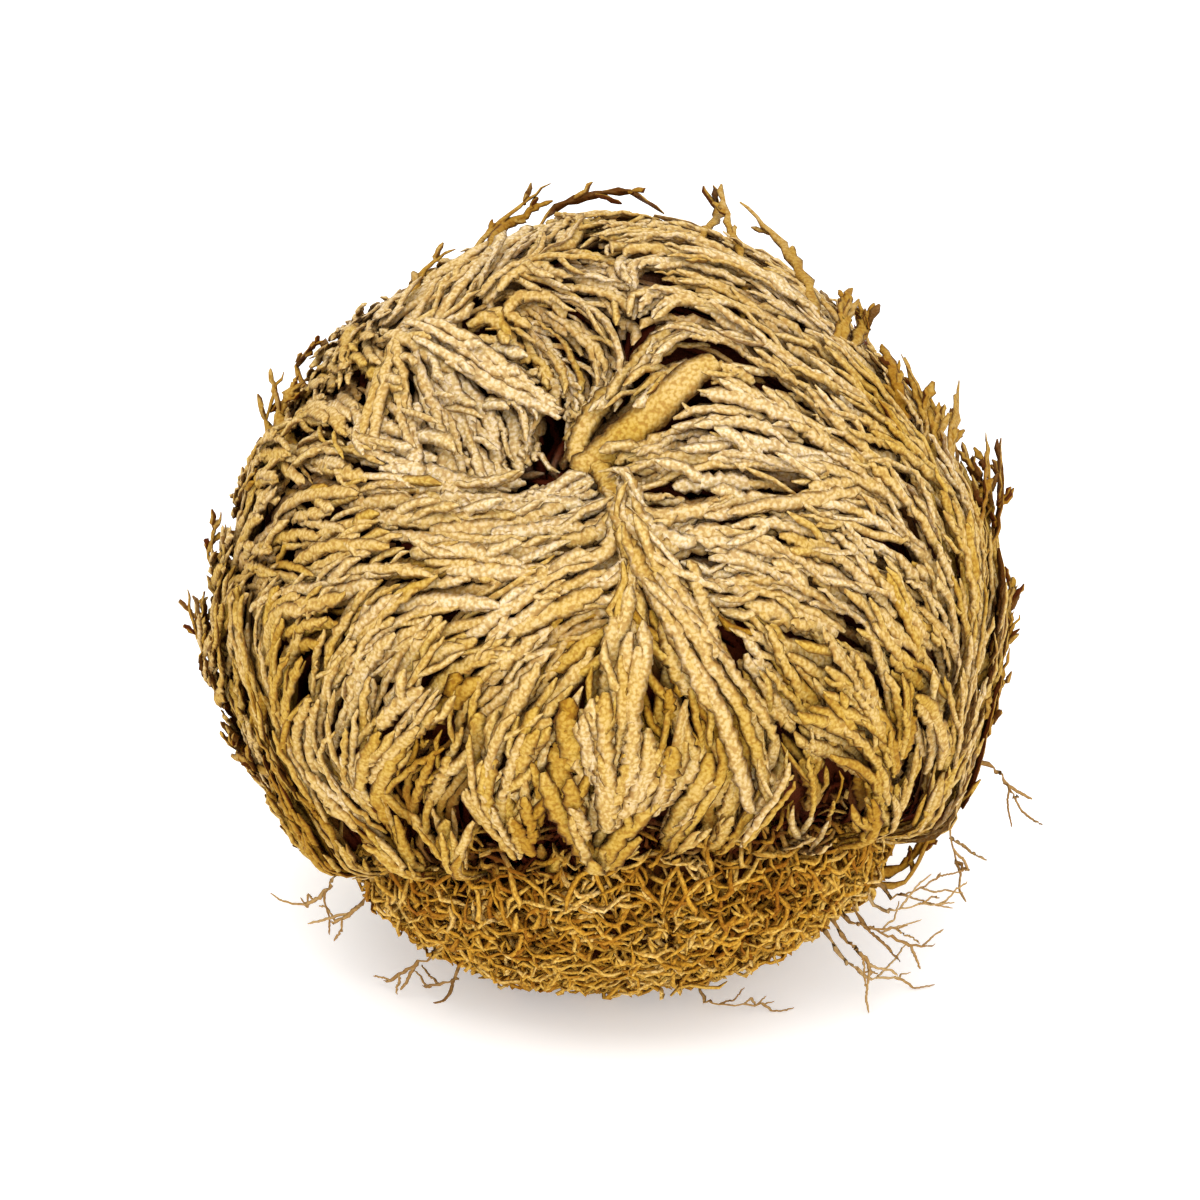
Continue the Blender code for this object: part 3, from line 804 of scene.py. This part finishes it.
def cord_mesh(strands, section, thickness, tooth, roll_spread=0.35, body=BODY_WIDTHS, wobble=1.0):
    """Points, faces and shading values of flattened cords along the strands."""
    ways = strands["ways"]
    count, rings = ways.shape[:2]
    around = len(section)
    places = BALL_CENTRE + ways * strands["radii"][..., None]
    places = places + dice.normal(0, BRANCHLET_WOBBLE, places.shape) * wobble
    side, out = cord_frames(places, ways, roll_spread)
    steps = norm(np.diff(places, axis=1), axis=2)
    flip = np.where(np.arange(rings) % 2, 1.0, -1.0)
    teeth = tooth * np.clip(steps.mean(axis=1, keepdims=True) / TOOTH_SPACING, 0, 1)
    teeth = teeth * (flip + dice.normal(0, TOOTH_SPREAD, (count, rings)))
    taper = np.interp(np.linspace(0, 1, rings), BODY_SHARES, body)
    half = strands["widths"][:, None] / 2 * taper
    points = np.empty((count, rings, around, 3))
    for k, (across, up) in enumerate(section):
        reach = across * half * (1 + teeth * (abs(across) == 1))
        height = up * thickness * taper
        points[:, :, k] = places + side * reach[..., None] + out * height[:, None]
    # Painted shade: the deeper a branchlet lies under the surface, the darker it is; its edges and
    # underside are darkened too
    under = np.clip((strands["surface"] + SHADE_START - strands["radii"]) / SHADE_DEPTH, 0, 1)
    rim = np.array([abs(across) if up >= 0 else 1.0 for across, up in section])
    along = np.concatenate([np.zeros((count, 1)), np.cumsum(steps, axis=1)], axis=1)
    return {
        "points": points.reshape(-1, 3),
        "faces": cord_faces(count, rings, around),
        "tint": np.repeat(strands["tint"], rings * around),
        "depth": np.repeat(under.reshape(-1), around),
        "rim": np.tile(rim, count * rings),
        "along": np.repeat(along.reshape(-1), around),
    }


def node_points(name):
    return np.array([v.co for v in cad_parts[name].data.vertices])


def sunk_mesh(name, points, tint, depth):
    """A node's faces over points of their own, in one tint and shade."""
    faces = np.array([list(face.vertices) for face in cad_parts[name].data.polygons])
    count = len(points)
    return {
        "points": points,
        "faces": [faces],
        "tint": np.full(count, tint),
        "depth": np.full(count, depth),
        "rim": np.ones(count),
        "along": np.zeros(count),
    }


def blade_backing(name):
    """The frond's own blade, sunk under its branchlets and coloured as full painted shade: the dark that
    the gaps show.
    """
    points = node_points(name) - BALL_CENTRE
    distance = norm(points, axis=1, keepdims=True)
    ways = points / distance
    points = BALL_CENTRE + ways * (distance - BACKING_DEPTH + np.minimum(fullness(ways), 0)[:, None])
    return sunk_mesh(name, points, 0.3, 0.98)


def rows_of(strands, chosen):
    return {key: value[chosen] for key, value in strands.items()}


def add_object(name, data):
    made = bpy.data.objects.new(name, data)
    bpy.context.scene.collection.objects.link(made)
    return made


def make_mesh(name, parts):
    """One mesh from several lots of points and faces, with their shading values."""
    points = np.concatenate([part["points"] for part in parts])
    loops = []
    sizes = []
    start = 0
    for part in parts:
        for faces in part["faces"]:
            loops.append((faces + start).reshape(-1))
            sizes.append(np.full(len(faces), faces.shape[1]))
        start += len(part["points"])
    loops = np.concatenate(loops)
    sizes = np.concatenate(sizes)
    starts = np.concatenate([[0], np.cumsum(sizes)[:-1]])
    mesh = bpy.data.meshes.new(name)
    mesh.vertices.add(len(points))
    mesh.vertices.foreach_set("co", points.reshape(-1).astype(np.float32))
    mesh.loops.add(len(loops))
    mesh.loops.foreach_set("vertex_index", loops.astype(np.int32))
    mesh.polygons.add(len(sizes))
    mesh.polygons.foreach_set("loop_start", starts.astype(np.int32))
    mesh.polygons.foreach_set("use_smooth", np.ones(len(sizes), bool))
    # depth and rim carry painted shade
    for key in ("tint", "depth", "rim", "along"):
        values = np.concatenate([part[key] for part in parts])
        mesh.attributes.new(key, "FLOAT", "POINT").data.foreach_set("value", values.astype(np.float32))
    mesh.update(calc_edges=True)
    mesh.validate()
    return mesh


def build_object(name, parts, material, slot, *nodes):
    """A piece of the plant, in place of its solid."""
    mesh = make_mesh(name, parts)
    mesh.materials.append(material)
    piece = add_object(name, mesh)
    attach(piece, "root")
    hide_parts(*nodes)


# Materials: the scales and shares of the grain's parts, and how the shade grows
PATCH_SCALE = 90.0
PATCH_SHARE = 0.9
FINE_SCALE = 2800.0
FINE_SHARE = 1.3
ROW_SHARE = 0.16
GRAIN_START = -0.72
RIM_POWER = 2.4
SHADE_POWER = 0.75
FULL_SHADE = 0.85
BUMP_STRENGTH = 0.4
BUMP_HEIGHT = 0.25 * MM


def linear(red, green, blue):
    """A shader colour from the values of a screen colour, 0 to 255."""
    shares = [value / 255 for value in (red, green, blue)]
    return [s / 12.92 if s <= 0.04045 else ((s + 0.055) / 1.055) ** 2.4 for s in shares] + [1.0]


def set_inputs(node, values):
    for key, value in values.items():
        node.inputs[key].default_value = value


def new_material(name, roughness, specular=0.1):
    """A material, and its shader."""
    material = bpy.data.materials.new(name)
    material.use_nodes = True
    shader = material.node_tree.nodes["Principled BSDF"]
    set_inputs(shader, {"Roughness": roughness, "Specular IOR Level": specular})
    return material, shader


def add_node(tree, kind, **settings):
    node = tree.nodes.new(kind)
    for key, value in settings.items():
        setattr(node, key, value)
    return node


def attribute(tree, name):
    return add_node(tree, "ShaderNodeAttribute", attribute_name=name).outputs["Fac"]


def ramp(tree, value, stops):
    """A colour ramp from (place, colour) pairs."""
    node = add_node(tree, "ShaderNodeValToRGB")
    while len(node.color_ramp.elements) < len(stops):
        node.color_ramp.elements.new(0.5)
    for element, (place, colour) in zip(node.color_ramp.elements, stops):
        element.position = place
        element.color = colour
    tree.links.new(value, node.inputs["Fac"])
    return node.outputs["Color"]


def feed(tree, socket, value):
    """Sets a socket to a plain value, or links another node's output to it."""
    if isinstance(value, (int, float, list, tuple)):
        socket.default_value = value
    else:
        tree.links.new(value, socket)


def maths(tree, operation, *values):
    node = add_node(tree, "ShaderNodeMath", operation=operation)
    for socket, value in zip(node.inputs, values):
        feed(tree, socket, value)
    return node.outputs[0]


def mixed(tree, share, first, second, blend="MIX"):
    node = add_node(tree, "ShaderNodeMix", data_type="RGBA", blend_type=blend)
    for place, value in ((0, share), (6, first), (7, second)):
        feed(tree, node.inputs[place], value)
    return node.outputs[2]


def texture(tree, kind, output, **values):
    """A texture over the piece's own place."""
    node = add_node(tree, kind)
    set_inputs(node, values)
    tree.links.new(tree.nodes.new("ShaderNodeTexCoord").outputs["Object"], node.inputs["Vector"])
    return node.outputs[output]


def noise(tree, scale, detail):
    return texture(tree, "ShaderNodeTexNoise", "Fac", Scale=scale, Detail=detail)


def scale_rows(tree):
    """Rows of small overlapping scales along a branchlet: 0 inside a scale, 1 between two."""
    wobble = maths(tree, "MULTIPLY", noise(tree, 700.0, 0.0), 1.3)
    slant = maths(tree, "MULTIPLY_ADD", attribute(tree, "rim"), -0.55, wobble)
    steps = maths(tree, "MULTIPLY_ADD", attribute(tree, "along"), 1 / SCALE_LENGTH, slant)
    share = maths(tree, "FRACT", steps)
    return maths(tree, "ABSOLUTE", maths(tree, "MULTIPLY_ADD", share, 2.0, -1.0))


def dry_plant(name, stops, shades, grain_scale, grain_strength, edge_shade_strength, roughness):
    """Dry matt plant: tinted by strand, grained with scales, with painted shade at the strands' edges
    and undersides and where they lie deep in the gaps.
    """
    material, shader = new_material(name, roughness)
    tree = material.node_tree
    patchy = maths(tree, "MULTIPLY_ADD", noise(tree, PATCH_SCALE, 2.0), PATCH_SHARE, -PATCH_SHARE / 2)
    tone = maths(tree, "ADD", attribute(tree, "tint"), patchy)
    colour = ramp(tree, tone, stops)
    cells = texture(tree, "ShaderNodeTexVoronoi", "Distance", Scale=grain_scale)
    rows = maths(tree, "MULTIPLY_ADD", scale_rows(tree), ROW_SHARE, cells)
    fine = noise(tree, FINE_SCALE, 1.5)
    grain = maths(tree, "MULTIPLY_ADD", fine, FINE_SHARE, maths(tree, "ADD", rows, GRAIN_START))
    spots = ramp(tree, grain, GRAIN_STOPS)
    colour = mixed(tree, grain_strength, colour, mixed(tree, 1.0, colour, spots, "MULTIPLY"))
    # Painted shade: edges and undersides (rim) and sunk parts (depth) are mixed towards the shade
    # colours
    rim = maths(tree, "POWER", attribute(tree, "rim"), RIM_POWER)
    edge_shade_share = maths(tree, "MULTIPLY_ADD", attribute(tree, "tint"), -0.6 * edge_shade_strength, 1.2 * edge_shade_strength)
    depth = maths(tree, "MAXIMUM", maths(tree, "MULTIPLY", rim, edge_shade_share), attribute(tree, "depth"))
    shade = ramp(tree, depth, ((0.0, shades[0]), (FULL_SHADE, shades[1])))
    colour = mixed(tree, maths(tree, "POWER", depth, SHADE_POWER), colour, shade)
    tree.links.new(colour, shader.inputs["Base Color"])
    bump = add_node(tree, "ShaderNodeBump")
    set_inputs(bump, {"Strength": BUMP_STRENGTH, "Distance": BUMP_HEIGHT})
    tree.links.new(maths(tree, "SUBTRACT", 1.0, grain), bump.inputs["Height"])
    tree.links.new(bump.outputs["Normal"], shader.inputs["Normal"])
    return material


def dry_wood(name, dark, pale):
    """Dull wood with a streaked grain."""
    material, shader = new_material(name, 0.85)
    tree = material.node_tree
    colour = ramp(tree, noise(tree, 260.0, 4.0), ((0.35, dark), (0.7, pale)))
    tree.links.new(colour, shader.inputs["Base Color"])
    return material


# Painted shade colours: golden brown for light shade, maroon for the deepest
PAINTED_SHADE_MAROON = linear(76, 24, 3)
PAINTED_SHADE_BROWN = linear(152, 100, 16)
GRAIN_STOPS = (
    (0.1, [1.04, 1.06, 1.14, 1]),
    (0.36, [1.0, 1.0, 0.98, 1]),
    (0.55, [0.82, 0.76, 0.46, 1]),
    (0.85, [0.56, 0.41, 0.19, 1]),
)
STRAW = dry_plant(
    "scaly_straw",
    stops=(
        (0.02, linear(172, 130, 40)),
        (0.25, linear(200, 165, 78)),
        (0.5, linear(212, 182, 119)),
        (0.75, linear(215, 189, 141)),
        (1.0, linear(223, 202, 166)),
    ),
    shades=(PAINTED_SHADE_BROWN, PAINTED_SHADE_MAROON),
    grain_scale=2200.0,
    grain_strength=0.8,
    edge_shade_strength=0.8,
    roughness=0.75,
)
ROOT = dry_plant(
    "matted_roots",
    stops=(
        (0.1, linear(156, 98, 20)),
        (0.4, linear(204, 154, 52)),
        (0.7, linear(222, 180, 88)),
        (1.0, linear(236, 204, 138)),
    ),
    shades=(PAINTED_SHADE_BROWN, PAINTED_SHADE_MAROON),
    grain_scale=2600.0,
    grain_strength=0.8,
    edge_shade_strength=0.6,
    roughness=0.8,
)
WIRE = dry_plant(
    "wiry_roots",
    stops=((0.1, linear(150, 112, 62)), (0.6, linear(190, 154, 98)), (1.0, linear(216, 188, 140))),
    # painted shade colours for the edges and sunk parts
    shades=(linear(120, 76, 34), linear(96, 56, 24)),
    grain_scale=2600.0,
    grain_strength=0.4,
    edge_shade_strength=0.2,
    roughness=0.8,
)


# The fronds
def tint_by_place(strands):
    """Paler strands towards the top and more golden ones below, as painted light from above; in patches
    along the growth, with painted highlight at the pale spots.
    """
    middle = strands["ways"][:, strands["ways"].shape[1] // 2]
    along, turn = place_on_path(middle)
    height = middle @ UP
    patch = 0.10 * np.sin(9 * turn + 2.1 * along) + 0.08 * np.sin(17 * turn - 3 * along + 1)
    own = 0.45 * (strands["tint"] - 0.5)
    # Painted light: the height term pales the top and darkens the bottom; the pale spots add painted
    # highlight
    strands["tint"] = np.clip(0.48 + 0.32 * height + patch + highlight_spot_share(middle) + own, 0.02, 1)
    return strands


sprays = make_sprays()
SHEAF_ZERO = unit(RIGHT - (RIGHT @ ROOT_POLE) * ROOT_POLE)
SHEAVES = np.linspace(0, 2 * math.pi, SHEAF_COUNT, endpoint=False)
SHEAVES += dice.uniform(-0.3, 0.3, SHEAF_COUNT) * 2 * math.pi / SHEAF_COUNT
crops = {name: tint_by_place(make_strands(sprays, *crop)) for name, crop in CROPS.items()}
twigs = make_twigs(crops["top"], TWIG_STEPS)
stray_lines = [stray_line(pixels, STRAY_STEPS) for pixels in with_twins(STRAYS)]
strays = stray_strands(stray_lines, STRAY_WIDTH_SHARES)
stray_tips = [tip for line in stray_lines for tip in side_tips(line, TIP_STEPS)]
tips = stray_strands(stray_tips, TWIG_WIDTH_SHARES)
drawn = [drawn_strands(*group) for group in DRAWN]
tongues = line_strands(
    [surface_line(pixels, TONGUE_STEPS, TONGUE_HEIGHT) for pixels, _ in TONGUES],
    [width for _, width in TONGUES],
    [TONGUE_TINT] * len(TONGUES),
)

# What covers the fronds: strands, their section and thickness, and how deep their edges are toothed
FINE = (SECTION, BRANCHLET_THICKNESS, 0.12)
COARSE = (COARSE_SECTION, BRANCHLET_THICKNESS, 0.15)
COVER = (
    (crops["top"], *FINE),
    *((crops[name], *COARSE) for name in ("under", "low", "middle", "inner")),
    (twigs, COARSE_SECTION, BRANCHLET_THICKNESS, 0.12),
    *((strands, *FINE) for strands in drawn),
    (strays, SECTION, BRANCHLET_THICKNESS, 0.25),
    (tips, COARSE_SECTION, BRANCHLET_THICKNESS, 0.2),
    (tongues, SECTION, TONGUE_THICKNESS, 0.05, 0.1, TONGUE_BODY),
)
FROND_SLOTS = {"outer": "straw_frond", "middle": "dull_straw_frond", "inner": "brown_frond"}


def frond_parts(name):
    """A frond's sunk blade and all that covers it."""
    parts = [blade_backing(name)]
    for strands, *look in COVER:
        own = strands["owner"] == name
        if own.any():
            parts.append(cord_mesh(rows_of(strands, own), *look))
    return parts


for name in OUTER + MIDDLES + INNER:
    slot = FROND_SLOTS[name.split("_")[0]]
    build_object(f"{name}_branchlets", frond_parts(name), STRAW, slot, name)


# The roots
def fibre_lines(ways, steps):
    """Lines that run criss-cross from these directions."""
    lengths = dice.uniform(*FIBRE_LENGTHS, len(ways)) * MM
    heading = dice.normal(0, 0.95, len(ways)) + math.pi * dice.integers(0, 2, len(ways))
    bend = dice.normal(0, 1.5, len(ways))
    side = unit(np.cross(ROOT_POLE, ways))
    lines = np.empty((len(ways), steps + 1, 3))
    here = ways
    for i in range(steps + 1):
        lines[:, i] = here
        ahead = turned(side, here, heading + bend * i / steps)
        ahead = unit(ahead - dots(ahead, here)[:, None] * here)
        here = unit(here + ahead * (lengths / steps / OUTER_RADIUS)[:, None])
    return lines


def fibre_strands(count, steps, angle_limit):
    """Fine roots that lie criss-cross over the root mat."""
    ways = spread(int(count * 2 / (1 - math.cos(math.radians(angle_limit)))))
    ways = ways[angle_to(ways, ROOT_POLE) < angle_limit + dice.normal(0, 4, len(ways))]
    lines = fibre_lines(ways, steps)
    clump = np.sin(23 * ways[:, 0] + 3 * np.sin(17 * ways[:, 2])) * np.cos(19 * ways[:, 1] - 1.0)
    base = np.interp(angle_to(lines, ROOT_POLE), FIBRE_ANGLES, FIBRE_RADII) * MM
    level = (dice.uniform(*FIBRE_LEVELS, len(ways)) + CLUMP_HEIGHT * clump) * MM
    wave = 0.5 * MM * np.sin(dice.uniform(0, 6.3, (len(ways), 1)) + np.linspace(0, 7, steps + 1))
    on_floor = (BALL_CENTRE[2] - FLOOR_GAP) / np.maximum(-lines[..., 2], 0.05)
    return {
        "ways": lines,
        "radii": np.minimum(base + level[:, None] + wave, on_floor),
        "surface": np.maximum(base - 0.2 * MM, FIBRE_SHADE_RADIUS),
        "widths": dice.uniform(*FIBRE_WIDTHS, len(ways)) * MM,
        "tint": np.clip(dice.uniform(0.1, 0.8, len(ways)) + 0.15 * clump, 0, 1),
    }


def mat_backing():
    """The mat's own solid, sunk under its fibres and coloured as deep painted shade, with its resting
    face where it is.
    """
    points = node_points("root_mat")
    away = points - BALL_CENTRE
    distance = norm(away, axis=1, keepdims=True)
    sunk = BALL_CENTRE + away * (1 - MAT_BACKING_DEPTH / distance)
    on_floor = points[:, 2:] < 0.2 * MM
    return sunk_mesh("root_mat", np.where(on_floor, points, sunk), 0.2, 0.85)


fibres = fibre_strands(ROOT_FIBRES, FIBRE_STEPS, FIBRE_LIMIT)
build_object(
    "root_mat_fibres",
    [mat_backing(), cord_mesh(fibres, ROUND_SECTION, FIBRE_THICKNESS, 0.0, wobble=1.3)],
    ROOT,
    "matted_root",
    "root_mat",
)


def node_line(name):
    """The middle line of a wiry root's solid, from the mat outwards."""
    points = np.unique(np.round(node_points(name), 6), axis=0)
    longways = np.linalg.svd(points - points.mean(0), full_matrices=False)[2][0]
    order = (points - points.mean(0)) @ longways
    cuts = np.quantile(order, (0.0, 0.25, 0.5, 0.75, 1.0))
    line = np.array([points[np.abs(order - c) < 1.0 * MM].mean(0) for c in cuts])
    start, end = norm(line[[0, -1]] - BALL_CENTRE, axis=1)
    return line if start < end else line[::-1]


def root_branch(line, start):
    """A kinked branch that leaves a wiry root."""
    ahead = unit(line[start + 2] - line[start])
    out = unit(np.cross(TOWARD, ahead)) * dice.choice((-1.0, 1.0))
    share = np.linspace(0, 1, len(line))[:, None]
    reach = dice.uniform(*BRANCH_LENGTHS) * MM
    places = line[start] + reach * share * (ahead * 0.8 + out * dice.uniform(0.35, 0.8))
    kinks = np.interp(share, (0, 0.3, 0.6, 1), (0, *dice.normal(0, 0.35, 3))) * MM
    places += out * kinks + TOWARD * share * dice.normal(0, 1.0) * MM
    return np.maximum(places, (-1, -1, 0.3 * MM))


def wiry_strands(name):
    """A wiry root from inside the mat to its tip, and its branches."""
    line = node_line(name)
    inward = unit(BALL_CENTRE - line[0])
    anchored = np.concatenate([[line[0] + inward * HAIR_ANCHOR], line])
    wiry = smooth_line(anchored, HAIR_STEPS)
    wiry += dice.normal(0, 0.10, wiry.shape) * MM
    branches = [root_branch(wiry, start) for start in BRANCH_SPOTS]
    places = np.stack([wiry, *branches]) - BALL_CENTRE
    radii = norm(places, axis=2)
    return {
        "ways": places / radii[..., None],
        "radii": radii,
        "surface": radii,
        "widths": np.array(HAIR_WIDTHS) * MM,
        "tint": dice.uniform(0.2, 0.8, len(HAIR_WIDTHS)),
    }


for name in nodes_like("wiry_root"):
    hairs = cord_mesh(wiry_strands(name), SECTION, HAIR_THICKNESS, 0.0, 0.0, HAIR_BODY, 0.3)
    build_object(f"{name}_hair", [hairs], WIRE, "wiry_root", name)


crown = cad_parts["root_crown"]
crown.data.materials.clear()
crown.data.materials.append(dry_wood("crown_wood", linear(70, 30, 10), linear(140, 92, 44)))


# The stage
WHITE = (1, 1, 1, 1)


def white(name, colour, glow):
    material, shader = new_material(name, 0.9, specular=0.5)
    set_inputs(shader, {"Base Color": colour, "Emission Color": WHITE, "Emission Strength": glow})
    return material


FLOOR_REACH = 3.0  # metres
floor_mesh = bpy.data.meshes.new("floor")
corners = [(x * FLOOR_REACH, y * FLOOR_REACH, 0) for x, y in ((-1, -1), (1, -1), (1, 1), (-1, 1))]
floor_mesh.from_pydata(corners, [], [(0, 1, 2, 3)])
floor_mesh.materials.append(white("pale_floor", (0.9, 0.9, 0.9, 1), 0.3))
floor = add_object("floor", floor_mesh)


def soft_light(name, way, distance, size, power):
    light = bpy.data.lights.new(name, "AREA")
    light.energy = power
    light.size = size
    lamp = add_object(name, light)
    way = Vector(way).normalized()
    lamp.location = Vector(BALL_CENTRE) + way * distance
    lamp.rotation_euler = (-way).to_track_quat("-Z", "Y").to_euler()


soft_light("key", (-0.15, -0.5, 1.1), 0.9, 0.5, 3.6)
soft_light("fill", (0.4, -0.9, 0.4), 1.1, 0.8, 2.8)
world = bpy.data.worlds.new("studio")
world.use_nodes = True
set_inputs(world.node_tree.nodes["Background"], {"Color": WHITE, "Strength": 1.18})
bpy.context.scene.world = world
bpy.context.scene.view_settings.view_transform = "Standard"

camera = add_object("camera", bpy.data.cameras.new("camera"))
aim = Vector(BALL_CENTRE) + Vector(RIGHT) * (PHOTO_PIXELS / 2 - BALL_PIXEL[0]) * PIXEL
camera.location = aim + Vector(TOWARD) * CAMERA_DISTANCE
camera.rotation_euler = (-Vector(TOWARD)).to_track_quat("-Z", "Y").to_euler()
camera.data.sensor_width = SENSOR
camera.data.lens = SENSOR * CAMERA_DISTANCE / (PHOTO_PIXELS * PIXEL)
camera.data.clip_start = 0.01
bpy.context.scene.camera = camera
